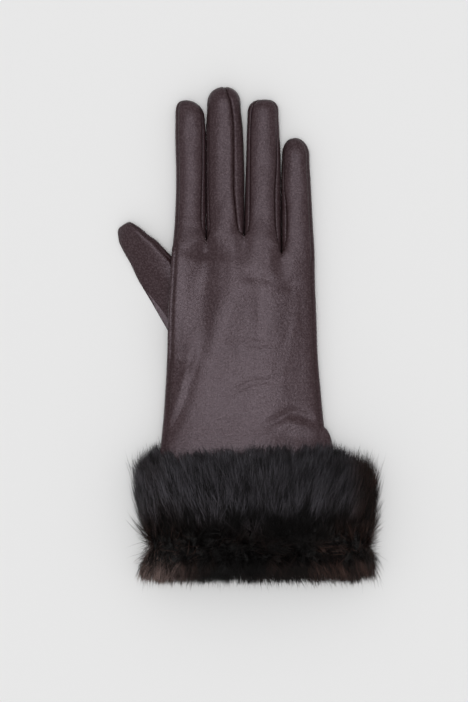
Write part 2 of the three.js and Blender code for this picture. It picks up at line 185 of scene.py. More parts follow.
# Folds and creases on the glove's upper side: where, how long and wide, the way they run in
# degrees from +X, and how deep. A negative depth is a ridge. A step goes down on its left side
# by twice its depth instead.
FOLDS = table(
    "x y long wide turn depth step",
    (-23, 45.5, 12, 3.6, -4, 1.5, 0),
    (-29.5, 61, 9, 4, -14, 0.7, 0),
    (-19.5, 14, 27, 11.5, 74, -1.9, 1),
    (-29.5, -27, 19, 3.2, 72, 0.7, 0),
    (-33.5, -30, 17, 3, 70, -0.5, 0),
    (-38, -52, 16, 3.4, 62, 0.6, 0),
    (22, -51.5, 9, 3.2, 24, 1.2, 0),
    (37, -51, 10, 3.6, -20, 1.7, 0),
    (33, -57, 13, 4.5, -5, 0.6, 1),
    (0.5, -33, 6.5, 1.5, 27, 0.4, 0),
    (12.5, -29.8, 7.5, 1.5, 6, 0.36, 0),
    (6, 31, 4, 2.6, 10, 0.6, 0),
    (14, 29.5, 3.5, 2.6, 0, 0.6, 0),
    (27.5, 26, 5, 3, 20, 0.7, 0),
    (10, -8, 16, 2, 1, 0.34, 0),
    (10, 11, 14, 3.2, 88, 0.34, 0),
    (26, -6, 38, 10, 88, 0.6, 1),
    (-32, 88, 7, 5, 20, 0.5, 0),
    (-30, 112, 6, 4, -15, 0.45, 0),
    (-10, 104, 14, 3, 84, 0.4, 0),
    (-14, 74, 10, 4, 76, 0.5, 0),
    (12, 96, 7, 5, -20, 0.5, 0),
    (10, 66, 9, 5, 60, 0.5, 0),
    (33, 84, 8, 4, 70, 0.4, 0),
    (34, 60, 8, 5, 60, 0.4, 0),
    as_given=("turn", "step"),
)

# How far the thumb lifts the hand's floor and roof, and between which places
THUMB_LIFT = in_metres(floor=7.8, roof=1.4, from_x=-20, to_x=-34, low=-14, high=44, fade=14)


def smooth(t):
    """A smooth step: 3t^2 - 2t^3 between 0 and 1, level outside."""
    t = np.clip(t, 0, 1)
    return t * t * (3 - 2 * t)


def mix(a, b, t):
    """What goes evenly from a to b as t goes from 0 to 1."""
    return a + (b - a) * t


def oval(turn, squareness):
    """How far across and up a point of an oval lies at an angle, each from -1 to 1: the cosine
    and the sine, with their sizes raised to 2 / n."""
    across, up = np.cos(turn), np.sin(turn)
    power = 2 / squareness
    return np.sign(across) * np.abs(across) ** power, np.sign(up) * np.abs(up) ** power


def polar_reach(angle, squareness):
    """How far an oval reaches at an angle: (|cos|^n + |sin|^n)^(-1/n)."""
    across, up = np.abs(np.cos(angle)), np.abs(np.sin(angle))
    return (across**squareness + up**squareness) ** (-1 / squareness)


def along(rows, key, column, at):
    """A smooth curve through a table's rows that never overshoots: a cubic between two rows,
    whose slope at a row is the harmonic mean of the slopes beside it, and level at both ends."""
    x, y = rows[key], rows[column]
    at = np.clip(at, x[0], x[-1])
    step = np.diff(y) / np.diff(x)
    slope = np.zeros_like(y)
    before, after = step[:-1], step[1:]
    same = before * after > 0
    slope[1:-1][same] = 2 * before[same] * after[same] / (before[same] + after[same])
    i = np.clip(np.searchsorted(x, at, side="right") - 1, 0, len(x) - 2)
    span = x[i + 1] - x[i]
    t = (at - x[i]) / span
    start = (1 + 2 * t) * (1 - t) ** 2 * y[i] + t * (1 - t) ** 2 * span * slope[i]
    return start + t * t * (3 - 2 * t) * y[i + 1] + t * t * (t - 1) * span * slope[i + 1]


def over_thumb(x, y):
    """How far the thumb below lifts the palm, from 0 to 1: a smooth step inwards from the
    thumb's side times a smooth window along the hand."""
    sideways = smooth((x - THUMB_LIFT["from_x"]) / (THUMB_LIFT["to_x"] - THUMB_LIFT["from_x"]))
    low = smooth((y - THUMB_LIFT["low"]) / THUMB_LIFT["fade"] + 1)
    return sideways * low * smooth((THUMB_LIFT["high"] - y) / THUMB_LIFT["fade"] + 1)


def fold_depth(x, y):
    """The folds' depth at a place: a sum of stretched bells exp(-u^2 - v^2), each turned to run
    its own way, or for a step v * exp((1 - u^2 - v^2) / 2)."""
    total = np.zeros(np.broadcast(x, y).shape)
    for i, turn in enumerate(FOLDS["turn"]):
        angle = math.radians(turn)
        dx, dy = x - FOLDS["x"][i], y - FOLDS["y"][i]
        u = (dx * math.cos(angle) + dy * math.sin(angle)) / FOLDS["long"][i]
        v = (-dx * math.sin(angle) + dy * math.cos(angle)) / FOLDS["wide"][i]
        bell = np.exp(-u * u - v * v) if not FOLDS["step"][i] else -v * np.exp((1 - u * u - v * v) / 2)
        total += FOLDS["depth"][i] * bell
    return total


def pressed(rise, floor, roof):
    """The height of an oval's point, from -1 at its lowest to 1 at its highest, between a floor
    and a roof, where the oval is pressed flat on the floor with a rounded edge."""
    height = (floor + roof - FLATTENING) / 2 + rise * (roof - floor + FLATTENING) / 2
    gap = height - floor
    return floor + (gap + np.sqrt(gap * gap + PRESS_ROUNDING**2)) / 2


def oval_rise(share, squareness):
    """How high an oval stands at a share of its half width: (1 - |share|^n)^(1/n)."""
    return np.clip(1 - np.abs(share) ** squareness, 0, 1) ** (1 / squareness)


def hand_floor_roof(x, y):
    """The heights that the hand's section spans at a place, with the thumb's lift, the folds,
    and the valleys that run down from the gaps between the fingers, each exp(-(x / width)^2)
    across and a power of a smooth step along."""
    lift = over_thumb(x, y)
    floor = along(HAND, "y", "bottom", y) + lift * THUMB_LIFT["floor"]
    roof = along(HAND, "y", "top", y) + lift * THUMB_LIFT["roof"]
    for crotch_x, crotch_y in zip(CROTCHES, KNUCKLES["y"][1:4]):
        near = smooth((y - crotch_y + VALLEY_LENGTH) / VALLEY_LENGTH) ** VALLEY_POWER
        roof = roof - VALLEY_DEPTH * near * np.exp(-(((x - crotch_x) / VALLEY_WIDTH) ** 2))
    return floor, roof - fold_depth(x, y)


def hand_point(share, y, upper):
    """A place on the hand's upper or lower side: share runs from 0 at its left edge to 1 at its
    right one, and the height follows an oval whose floor and roof change from place to place."""
    left, right = along(HAND, "y", "left", y), along(HAND, "y", "right", y)
    x = mix(left, right, share)
    off = 2 * share - 1
    rise = np.where(off < 0, oval_rise(off, HAND_SQUARENESS[-1]), oval_rise(off, HAND_SQUARENESS[1]))
    rise = rise if upper else -rise
    return np.stack([x, y + 0 * x, pressed(rise, *hand_floor_roof(x, y))], -1)


def hand_side(side, turn, y):
    """A place on the hand's left (-1) or right (1) side wall: turn is an angle round the hand's
    oval, from 90 degrees at the top to -90 at the bottom."""
    left, right = along(HAND, "y", "left", y), along(HAND, "y", "right", y)
    across, rise = oval(turn, HAND_SQUARENESS[side])
    x = (left + right) / 2 + side * across * (right - left) / 2
    return np.stack([x, y + 0 * x, pressed(rise, *hand_floor_roof(x, y))], -1)


def finger_frame(name, y, cap_rise):
    """A finger's centre, half width and half thickness: its rows up to the cap, then both
    shrunk by (1 - rise^b)^(1/b) towards the tip. The last value is how much they are shrunk."""
    tip, bluntness = TIPS[name], TIP_BLUNTNESS[name]
    at = np.minimum(y, tip["y"] - tip["cap"])
    left, right = along(FINGERS[name], "y", "left", at), along(FINGERS[name], "y", "right", at)
    shrink = np.clip(1 - cap_rise**bluntness, 0, 1) ** (1 / bluntness)
    centre = mix((left + right) / 2, tip["x"], cap_rise**2)
    return centre, shrink * (right - left) / 2, shrink * tip["thickness"] / 2, shrink


def finger_point(name, turn, y, cap_rise):
    """A place round a finger: turn is an angle from 0 on its right over 90 at the top, on an
    oval pressed flat on the surface below, with the thumb's lift at the index's root."""
    centre, half, thick, _ = finger_frame(name, y, cap_rise)
    across, rise = oval(turn, FINGER_SQUARENESS)
    x = centre + half * across
    lift = over_thumb(x, y)
    middle = TIPS[name]["thickness"] / 2
    floor = middle - thick + lift * THUMB_LIFT["floor"]
    roof = middle + thick + lift * THUMB_LIFT["roof"] - fold_depth(x, y) * np.clip(2 * rise, 0, 1)
    return np.stack([x, y + 0 * x, pressed(rise, floor, roof)], -1)


def seam_turn(name, side, y, cap_rise):
    """The angle of a finger's upper seam round its oval: arccos(share^(n/2)), where share is
    the part of the half width at which its table puts it."""
    centre, half, _, shrink = finger_frame(name, np.minimum(y, TIPS[name]["y"]), cap_rise)
    seam = SEAMS.get((name, side))
    if seam is None:
        share = np.full_like(y, OUTER_SEAM)
    else:
        full = np.maximum(half / np.maximum(shrink, TINY), TINY)
        share = side * (along(seam, "y", "x", y) - centre) / full
        share = np.clip(share, LEAST_SEAM, MOST_SEAM)
    return np.arccos(share ** (FINGER_SQUARENESS / 2))


def finger_rows():
    """The rows of a finger's grid from the cuff to its tip: for each row, a share of the way
    from the cuff to the knuckles, a share from there to the cap, and the cap's angle."""
    under_fur = np.linspace(0, FUR_ROWS_SHARE, FUR_ROWS, endpoint=False)
    hand = np.linspace(FUR_ROWS_SHARE, 1, HAND_GRID_ROWS - FUR_ROWS)
    body = np.linspace(0, 1, FINGER_GRID_ROWS + 1)[1:]
    cap = np.linspace(0, math.pi / 2, CAP_GRID_ROWS + 1)[1:]
    hand_share = np.concatenate([under_fur, hand, np.ones(len(body) + len(cap))])
    body_share = np.concatenate([np.zeros(HAND_GRID_ROWS), body, np.ones(len(cap))])
    cap_turn = np.concatenate([np.zeros(HAND_GRID_ROWS + len(body)), cap])
    return hand_share[:, None], body_share[:, None], cap_turn[:, None]


def row_heights(name, start):
    """Where each row of a finger's grid lies along Y for columns that cross the knuckles at
    start: even steps to the knuckle line, even steps on to the cap, then the cap's sine."""
    hand_share, body_share, cap_turn = finger_rows()
    tip = TIPS[name]
    y = mix(HAND["y"][0], start, hand_share)
    y = y + (tip["y"] - tip["cap"] - start) * body_share
    return y + tip["cap"] * np.sin(cap_turn), np.sin(cap_turn)


def finger_edges(name):
    """A finger panel's left and right end on the knuckle line."""
    i = NAMES.index(name)
    y = along(KNUCKLES, "x", "y", KNUCKLES["x"])
    ends = [mix(along(HAND, "y", "left", y[0]), along(HAND, "y", "right", y[0]), LEFT_EDGE)]
    ends += list(CROTCHES)
    ends += [mix(along(HAND, "y", "left", y[-1]), along(HAND, "y", "right", y[-1]), RIGHT_EDGE)]
    return ends[i], ends[i + 1]


def knuckle_blend(past):
    """How far the hand's surface has gone over into a finger's at a distance past the knuckle
    line: soon in plan, later in height."""
    plan, height = smooth(past / KNUCKLE_BLEND), smooth(past / KNUCKLE_HEIGHT_BLEND)
    return np.stack([plan, plan, height], -1)


def panel(name, upper):
    """The upper or lower panel of one finger with its share of the hand, as a grid. Each column
    keeps one share of the hand's width up to the knuckles. Beyond them the hand's surface goes
    over into the finger's oval, whose columns are even steps of angle between its seams."""
    left, right = finger_edges(name)
    columns = TOP_COLUMNS if upper else UNDER_COLUMNS
    step = np.linspace(0, 1, columns + 1)[None, :]
    x0 = mix(left, right, step)
    start = along(KNUCKLES, "x", "y", x0)
    y, cap_rise = row_heights(name, start)
    edge_left, edge_right = along(HAND, "y", "left", start), along(HAND, "y", "right", start)
    on_hand = hand_point((x0 - edge_left) / (edge_right - edge_left) + 0 * y, y, upper)
    if upper:
        first = math.pi - seam_turn(name, -1, y[:, :1], cap_rise)
        last = seam_turn(name, 1, y[:, -1:], cap_rise)
    else:
        lower = math.acos(LOWER_SEAM ** (FINGER_SQUARENESS / 2))
        first, last = -math.pi + lower, -lower
    on_finger = finger_point(name, mix(first, last, step) + 0 * y, y, cap_rise)
    return mix(on_hand, on_finger, knuckle_blend(y - start))


def side_wall(name, side, upper_edge, lower_edge):
    """One side wall of a finger as a grid from its upper seam down to its lower one. An outer
    wall runs on down the hand's edge. An inner one starts at the crotch as an upright line."""
    step = np.linspace(0, 1, SIDE_COLUMNS + 1)[None, :]
    outer = (name, side) not in SEAMS
    start = mix(upper_edge[HAND_GRID_ROWS - 1, 1], lower_edge[HAND_GRID_ROWS - 1, 1], step)
    y, cap_rise = row_heights(name, start)
    top = seam_turn(name, side, y[:, :1], cap_rise)
    bottom = -math.acos(LOWER_SEAM ** (FINGER_SQUARENESS / 2))
    turn = mix(top, bottom, step) + 0 * y
    on_finger = finger_point(name, turn if side > 0 else math.pi - turn, y, cap_rise)
    if outer:
        edge = 2 * (RIGHT_EDGE if side > 0 else 1 - LEFT_EDGE) - 1
        limit = math.acos(abs(edge) ** (HAND_SQUARENESS[side] / 2))
        on_hand = hand_side(side, mix(limit, -limit, step) + 0 * y, y)
        wall = mix(on_hand, on_finger, knuckle_blend(y - start))
    else:
        web = mix(upper_edge[HAND_GRID_ROWS - 1], lower_edge[HAND_GRID_ROWS - 1], step[0][:, None])
        web = web - WEB_SAG * np.sin(math.pi * step[0])[:, None] * np.array([0, 1, 0])
        blend = smooth((y - start) / CROTCH_BLEND)[..., None]
        wall = mix(web[None], on_finger, blend)[HAND_GRID_ROWS - 1 :]
        upper_edge, lower_edge = upper_edge[HAND_GRID_ROWS - 1 :], lower_edge[HAND_GRID_ROWS - 1 :]
    wall[:, 0], wall[:, -1] = upper_edge, lower_edge
    return wall


THUMB = table(
    "left_x left_y right_x right_y bottom top",
    (-73.6, 58.2, -64.9, 64.1, 1.2, 8.6),
    (-72.3, 55.6, -62.8, 61.8, 0.7, 9.2),
    (-71.7, 51.8, -59.4, 59.6, 0.1, 9.9),
    (-69.2, 46.2, -54.4, 55.4, 0, 10.4),
    (-65.2, 39.2, -49.8, 52.2, 0, 10.6),
    (-60.4, 29.2, -45.4, 47.6, 0, 10),
    (-53.4, 17.4, -39.5, 41.5, 0, 8.4),
    (-45, 2.8, -33, 34, 0, 7.6),
    (-38.5, -8, -27.5, 24, 0, 8.4),
    (-30, -14, -20, 14, 2.2, 11),
)
THUMB["step"] = np.arange(len(THUMB["top"]), dtype=float)
THUMB_SQUARENESS = 2.3
THUMB_RINGS, THUMB_DOME_RINGS, THUMB_POINTS = 110, 36, 56
THUMB_DOME = 1.15  # in steps of the table
THUMB_SEAM_TURN = 0.6  # radians up from the thumb's right edge
THUMB_TILT = 4.8 * MM  # how much its top rises towards the hand, over half its width
THUMB_TILT_LEVEL = 0.5  # the place across it where the tilt adds nothing, from -1 to 1
THUMB_WRINKLE = {"depth": 0.12 * MM, "spacing": 11 * MM, "way": (0.6, 0.8)}

GUSSET = table(
    "y right bottom top",
    (-86, 53.1, 5.5, 15.4),
    (-68.5, 53.4, 4, 13.8),
    (-65, 53, 3.8, 13),
    (-61.5, 52.1, 3.8, 12),
    (-58, 50.4, 4.2, 11),
    (-54, 47.8, 5.6, 8.8),
)
GUSSET_ROOT_X = 40 * MM
GUSSET_SQUARENESS = 2.2
GUSSET_RINGS, GUSSET_POINTS = 60, 40
GUSSET_PLEAT = in_metres(depth=0.42, spacing=3.1, first=47.6, fold=1.6, fold_width=1.5)

SEAM_GROOVE = in_metres(depth=0.7, width=0.8)
FAR_FROM_SEAMS = 30 * MM
WELD_DISTANCE = 0.02 * MM

FUR = table(
    "y left right bottom top",
    (-142.3, -49.5, 65, -1, 24),
    (-139.3, -55.5, 71.5, -2.5, 28.5),
    (-134, -59.5, 75, -2.5, 30.5),
    (-126, -53, 75, -2.5, 25.5),
    (-118, -56.5, 74.5, -2.5, 28),
    (-106, -59.5, 75, -2.5, 31),
    (-94, -59.5, 74, -2.5, 30.5),
    (-85, -58, 67.5, -2, 27.5),
    (-78, -55, 60.5, -0.5, 24),
    (-74, -51.5, 55.5, 1.2, 20.5),
)
FUR_SQUARENESS = 2.5
FUR_SLANT = in_metres(rise=4.5, at=60, start=-104, over=28)
FUR_CREASE_Y = -125 * MM
GROUND_SUNK = 3 * MM
GROUND_RINGS, GROUND_POINTS = 60, 120
GROUND_END_SQUARENESS = 8  # higher keeps its ends' rounding shorter
GROUND_CLEARANCE = 0.6 * MM


def read(items, field, width=3):
    """One field of every vertex, loop or face as an array."""
    values = np.empty(len(items) * width, np.float32)
    items.foreach_get(field, values)
    return values.reshape(-1, width).astype(float) if width > 1 else values


def grid_faces(rows, columns, flip=False, closed=False):
    """The quads of a grid of points, as vertex numbers, closed round its columns if asked."""
    row, column = np.meshgrid(np.arange(rows - 1), np.arange(columns - (not closed)), indexing="ij")
    here, beside = row * columns + column, row * columns + (column + 1) % columns
    quads = np.stack([here, beside, beside + columns, here + columns], -1).reshape(-1, 4)
    return quads[:, ::-1] if flip else quads


def new_mesh(name, points, faces):
    """A smooth-shaded mesh from arrays of points and of faces with equal numbers of corners."""
    mesh = bpy.data.meshes.new(name)
    mesh.vertices.add(len(points))
    mesh.vertices.foreach_set("co", np.ascontiguousarray(points, np.float32).ravel())
    mesh.loops.add(faces.size)
    mesh.loops.foreach_set("vertex_index", np.ascontiguousarray(faces, np.int32).ravel())
    mesh.polygons.add(len(faces))
    mesh.polygons.foreach_set("loop_start", np.arange(0, faces.size, faces.shape[1], dtype=np.int32))
    mesh.polygons.foreach_set("use_smooth", np.ones(len(faces), bool))
    mesh.update(calc_edges=True)
    return mesh


def add_object(name, mesh, material):
    """A new object in the scene with a mesh and its material."""
    mesh.materials.append(material)
    made = bpy.data.objects.new(name, mesh)
    bpy.context.scene.collection.objects.link(made)
    return made


def dress(made, node):
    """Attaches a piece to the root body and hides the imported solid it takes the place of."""
    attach(made, "root")
    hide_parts(node)


def across_distance(grid):
    """The distance of each point of a grid from its row's first one, along the row."""
    steps = np.linalg.norm(np.diff(grid, axis=1), axis=2)
    return np.concatenate([np.zeros((len(grid), 1)), np.cumsum(steps, axis=1)], axis=1)


def seam_distance(grid, first, last):
    """The distance of each point of a grid from the seams at its first and last columns. Each is
    None, or the row where its seam starts, and before that row the distance is to its start."""
    distance = np.full(grid.shape[:2], FAR_FROM_SEAMS)
    from_first = across_distance(grid)
    sides = ((first, from_first, 0), (last, from_first[:, -1:] - from_first, -1))
    for start, along_row, column in sides:
        if start is None:
            continue
        along_row = along_row.copy()
        gap = grid[:start] - grid[start, column]
        along_row[:start] = np.linalg.norm(gap, axis=2)
        distance = np.minimum(distance, along_row)
    return distance


def leather_mesh(name, parts):
    """One sheet of grids that meet at their edges, each with its seam distances and whether it
    is turned over. Points that coincide are welded, then the sheet is drawn in along the seams
    by depth * exp(-(distance / width)^2)."""
    points, faces, distances, count = [], [], [], 0
    for grid, distance, flip in parts:
        rows, columns = grid.shape[:2]
        faces.append(grid_faces(rows, columns, flip) + count)
        points.append(grid.reshape(-1, 3))
        distances.append(distance.ravel())
        count += rows * columns
    mesh = new_mesh(name, np.concatenate(points), np.concatenate(faces))
    layer = mesh.attributes.new("seam", "FLOAT", "POINT")
    layer.data.foreach_set("value", np.concatenate(distances).astype(np.float32))
    welded = bmesh.new()
    welded.from_mesh(mesh)
    bmesh.ops.remove_doubles(welded, verts=welded.verts, dist=WELD_DISTANCE)
    welded.to_mesh(mesh)
    welded.free()
    mesh.update()
    distance = read(mesh.attributes["seam"].data, "value", 1)
    depth = SEAM_GROOVE["depth"] * np.exp(-((distance / SEAM_GROOVE["width"]) ** 2))
    points = read(mesh.vertices, "co") - read(mesh.vertices, "normal") * depth[:, None]
    mesh.vertices.foreach_set("co", points.astype(np.float32).ravel())
    mesh.update()
    return mesh


def add_leather(node, parts, settings):
    """Makes the leather piece that stands for a node, from its grids, and gives it a wall."""
    made = add_object(f"glove_{node}", leather_mesh(node, parts), shared_leather(settings))
    wall = made.modifiers.new("Wall", "SOLIDIFY")
    wall.thickness = settings.thickness
    wall.offset = -1
    dress(made, node)


def glove_panels():
    """The upper and lower panel of every finger, by name."""
    return {name: (panel(name, True), panel(name, False)) for name in NAMES}


def upper_parts(panels):
    """The grids of the leather over the hand and the fingers, with a seam at both outer edges
    and, from the crotches on, between the fingers."""
    knuckle = HAND_GRID_ROWS - 1
    starts = {name: [knuckle if (name, side) in SEAMS else 0 for side in (-1, 1)] for name in NAMES}
    uppers = {name: panels[name][0] for name in NAMES}
    return [(uppers[name], seam_distance(uppers[name], *starts[name]), False) for name in NAMES]


def lower_parts(panels):
    """The grids of the leather under the hand and the fingers, with its two outer edges turned
    up to the seams that join it to the upper side."""
    knuckle = HAND_GRID_ROWS - 1
    parts = []
    for name in NAMES:
        lower = panels[name][1]
        starts = [knuckle if (name, side) in SEAMS else None for side in (-1, 1)]
        parts.append((lower, seam_distance(lower, *starts), True))
    for name, side, column in (("index", -1, 0), ("little", 1, -1)):
        upper, lower = panels[name]
        wall = side_wall(name, side, upper[:, column], lower[:, column])
        parts.append((wall, seam_distance(wall, 0, None), side < 0))
    return parts


def fourchette_parts(panels, left_name, right_name):
    """The grids of one forked strip: the right wall of one finger and the left of the next."""
    left_upper, left_lower = panels[left_name]
    right_upper, right_lower = panels[right_name]
    arms = [
        (side_wall(left_name, 1, left_upper[:, -1], left_lower[:, -1]), False),
        (side_wall(right_name, -1, right_upper[:, 0], right_lower[:, 0]), True),
    ]
    return [(arm, seam_distance(arm, 0, 0), flip) for arm, flip in arms]


def thumb_grid():
    """The thumb as rings along its table, shrunk to a dome at the tip by the square root of
    1 - (1 - step / dome)^2, each ring an oval across it pressed flat on the floor, whose top
    rises evenly towards the hand."""
    start = np.linspace(0, 1, THUMB_DOME_RINGS) ** 2 * THUMB_DOME
    rest = np.linspace(THUMB_DOME, THUMB["step"][-1], THUMB_RINGS - THUMB_DOME_RINGS + 1)[1:]
    step = np.concatenate([start, rest])[:, None]
    columns = "left_x left_y right_x right_y bottom top".split()
    left_x, left_y, right_x, right_y, bottom, top = (
        along(THUMB, "step", column, step) for column in columns
    )
    shrink = np.sqrt(1 - np.clip(1 - step / THUMB_DOME, 0, 1) ** 2)
    turn = np.linspace(0, 2 * math.pi, THUMB_POINTS + 1)[None, :] + THUMB_SEAM_TURN
    across, rise = (shrink * part for part in oval(turn, THUMB_SQUARENESS))
    top = top + THUMB_TILT * (across - THUMB_TILT_LEVEL)
    x = (left_x + right_x) / 2 + across * (right_x - left_x) / 2
    y = (left_y + right_y) / 2 + across * (right_y - left_y) / 2
    way_x, way_y = THUMB_WRINKLE["way"]
    wave = np.sin((y * way_y + x * way_x) * 2 * math.pi / THUMB_WRINKLE["spacing"])
    wrinkle = THUMB_WRINKLE["depth"] * np.clip(rise, 0, 1) * wave
    return np.stack([x, y, pressed(rise, bottom, top) - wrinkle * smooth(step - 1)], -1)


def gusset_grid():
    """The gusset as rings along the wrist: ovals from inside the hand to the gusset's edge, with
    a fold along the edge and pleats along the hand, whose height is a cosine of x."""
    y = np.linspace(GUSSET["y"][0], GUSSET["y"][-1], GUSSET_RINGS)[:, None]
    turn = np.linspace(0, 2 * math.pi, GUSSET_POINTS + 1)[None, :] + math.pi
    right, bottom, top = (along(GUSSET, "y", column, y) for column in ("right", "bottom", "top"))
    across, rise = oval(turn, GUSSET_SQUARENESS)
    middle = (bottom + top) / 2
    z = middle + rise * (top - bottom) / 2
    fold = GUSSET_PLEAT["fold"] * np.exp(-(((z - middle) / GUSSET_PLEAT["fold_width"]) ** 2))
    x = mix(GUSSET_ROOT_X, right - fold, (across + 1) / 2)
    wave = np.cos((x - GUSSET_PLEAT["first"]) * 2 * math.pi / GUSSET_PLEAT["spacing"])
    return np.stack([x, y + 0 * x, z + GUSSET_PLEAT["depth"] * wave * np.abs(rise)], -1)


def ring_place(rows, y, angle, squareness, out):
    """Where a ring round the wrist lies, in x and z: an oval between its table's sides, by its
    polar reach, moved out."""
    left, right, bottom, top = (
        along(rows, "y", column, y) for column in ("left", "right", "bottom", "top")
    )
    reach = polar_reach(angle, squareness)
    x = (left + right) / 2 + np.cos(angle) * reach * ((right - left) / 2 + out)
    return x, (bottom + top) / 2 + np.sin(angle) * reach * ((top - bottom) / 2 + out)


def fur_point(y, angle, out):
    """A place on the fur's outer form: a ring round the wrist by its table, moved out, with its
    upper end slanting up towards the little finger."""
    x, z = ring_place(FUR, y, angle, FUR_SQUARENESS, out)
    slant = smooth((y - FUR_SLANT["start"]) / FUR_SLANT["over"]) * FUR_SLANT["rise"] * np.sin(angle)
    return np.stack([x, y + slant * x / FUR_SLANT["at"], z], -1)


def ground_mesh():
    """The dark skin under the fur: a closed ring whose outside lies a little under the fur's
    form and whose inside clears the leather."""
    shares = np.linspace(0, 1, GROUND_RINGS)
    low, high = FUR["y"][0] + 2 * GROUND_SUNK, FUR["y"][-1] - GROUND_SUNK
    angle = np.linspace(0, 2 * math.pi, GROUND_POINTS, endpoint=False)[None, :]
    y_out = mix(low, high, shares)[:, None]
    ends = np.sqrt(np.clip(1 - np.abs(2 * shares - 1) ** GROUND_END_SQUARENESS, 0, 1))[:, None]
    outer = fur_point(y_out, angle, -GROUND_SUNK * (2 - ends))
    y_in = y_out[::-1]
    x, z = ring_place(HAND, y_in, angle, HAND_SQUARENESS[-1], GROUND_CLEARANCE)
    inner = np.stack([x, y_in + 0 * x, z], -1)
    points = np.concatenate([outer, inner])
    points[..., 2] = np.maximum(points[..., 2], 0)
    faces = grid_faces(len(points) + 1, GROUND_POINTS, flip=True, closed=True)
    return new_mesh("fur_ground", points.reshape(-1, 3), faces % (len(points) * GROUND_POINTS))


STRAND_PIECES = 5
STRAND_RINGS = 3
CLUMP_SPREAD = 1.9 * MM
CLUMP_TINT = 0.65  # how much of a hair's tint its clump shares
FLOOR_CLEARANCE = 0.25 * MM
SAMPLE_ROWS, SAMPLE_COLUMNS = 120, 360
UNDERSIDE_HEIGHT, UNDERSIDE_SHARE = 1.5 * MM, 0.12
UV_MARGIN = 0.02
SMALL_TURN = 0.01  # radians, to find the way round the fur

# How the hair lies. A share counts against its whole length or reach, and a spread is how much
# one hair or clump differs from the next.
HAIR = {
    "middle": 6 * MM,
    "half_width": 62 * MM,
    "fan": 0.6,
    "fan_at_crease": 1.2,
    "crease_width": 9 * MM,
    "parting": 3 * MM,
    "lean": 0.46,
    "clump_lean_spread": 0.1,
    "lean_spread": 0.06,
    "curl": 0.26,
    "jitter": 0.15,
    "clump_jitter": 0.15,
    "crease_jitter": 0.42,
    "gather": 0.74,
    "gather_power": 1.5,
    "clump_length_spread": 0.1,
    "length_spread": 0.12,
    "shortest": 0.6,
    "longest": 1.3,
    "front_share": 0.42,
    "front_fade": 26 * MM,
    "end_share": 0.3,
    "end_fade": 20 * MM,
    "sunk": 3 * MM,
    "root_radius": 0.155 * MM,
    "radius_spread": 0.2,
    "taper": 0.7,
    "wisps": 0.1,
    "wisp_length": 1.3,
    "wisp_gather": 0.2,
}


def surface_samples(random, count):
    """Places spread evenly over the fur's form, as y and angle: cells of a fine grid are drawn
    by their area, fewer of them under the glove, and each draw lies anywhere in its cell."""
    y = np.linspace(FUR["y"][0], FUR["y"][-1], SAMPLE_ROWS + 1)[:, None]
    angle = np.linspace(0, 2 * math.pi, SAMPLE_COLUMNS + 1)[None, :]
    grid = fur_point(y, angle, 0)
    along_y = grid[1:, :-1] - grid[:-1, :-1]
    round_it = grid[:-1, 1:] - grid[:-1, :-1]
    area = np.linalg.norm(np.cross(along_y, round_it), axis=2)
    under = grid[:-1, :-1, 2] < UNDERSIDE_HEIGHT
    weight = (area * np.where(under, UNDERSIDE_SHARE, 1)).ravel()
    cell = random.choice(len(weight), count, p=weight / weight.sum())
    row, column = np.divmod(cell, SAMPLE_COLUMNS)
    y_at = y[row, 0] + random.random(count) * (y[1, 0] - y[0, 0])
    return y_at, angle[0, column] + random.random(count) * (angle[0, 1] - angle[0, 0])


def unit(vectors):
    """Vectors at their own direction and a length of one."""
    return vectors / np.linalg.norm(vectors, axis=-1, keepdims=True)


def outward(y, angle):
    """The way from a place on the fur's form to the same place moved out."""
    return unit(fur_point(y, angle, MM) - fur_point(y, angle, 0))


def hair_run(points):
    """The way the hair lies from above: away from the crease that parts the fur, by
    tanh(distance / parting), and fanning out to both sides by its place across, more so near
    the crease. The second value is that nearness, exp(-(distance / width)^2)."""
    way = np.tanh((points[:, 1] - FUR_CREASE_Y) / HAIR["parting"])
    side = (points[:, 0] - HAIR["middle"]) / HAIR["half_width"]
    near_crease = np.exp(-(((points[:, 1] - FUR_CREASE_Y) / HAIR["crease_width"]) ** 2))
    fan = HAIR["fan"] * side * (1 + HAIR["fan_at_crease"] * near_crease)
    return np.stack([fan, way, np.zeros(len(points))], -1), near_crease[:, None]


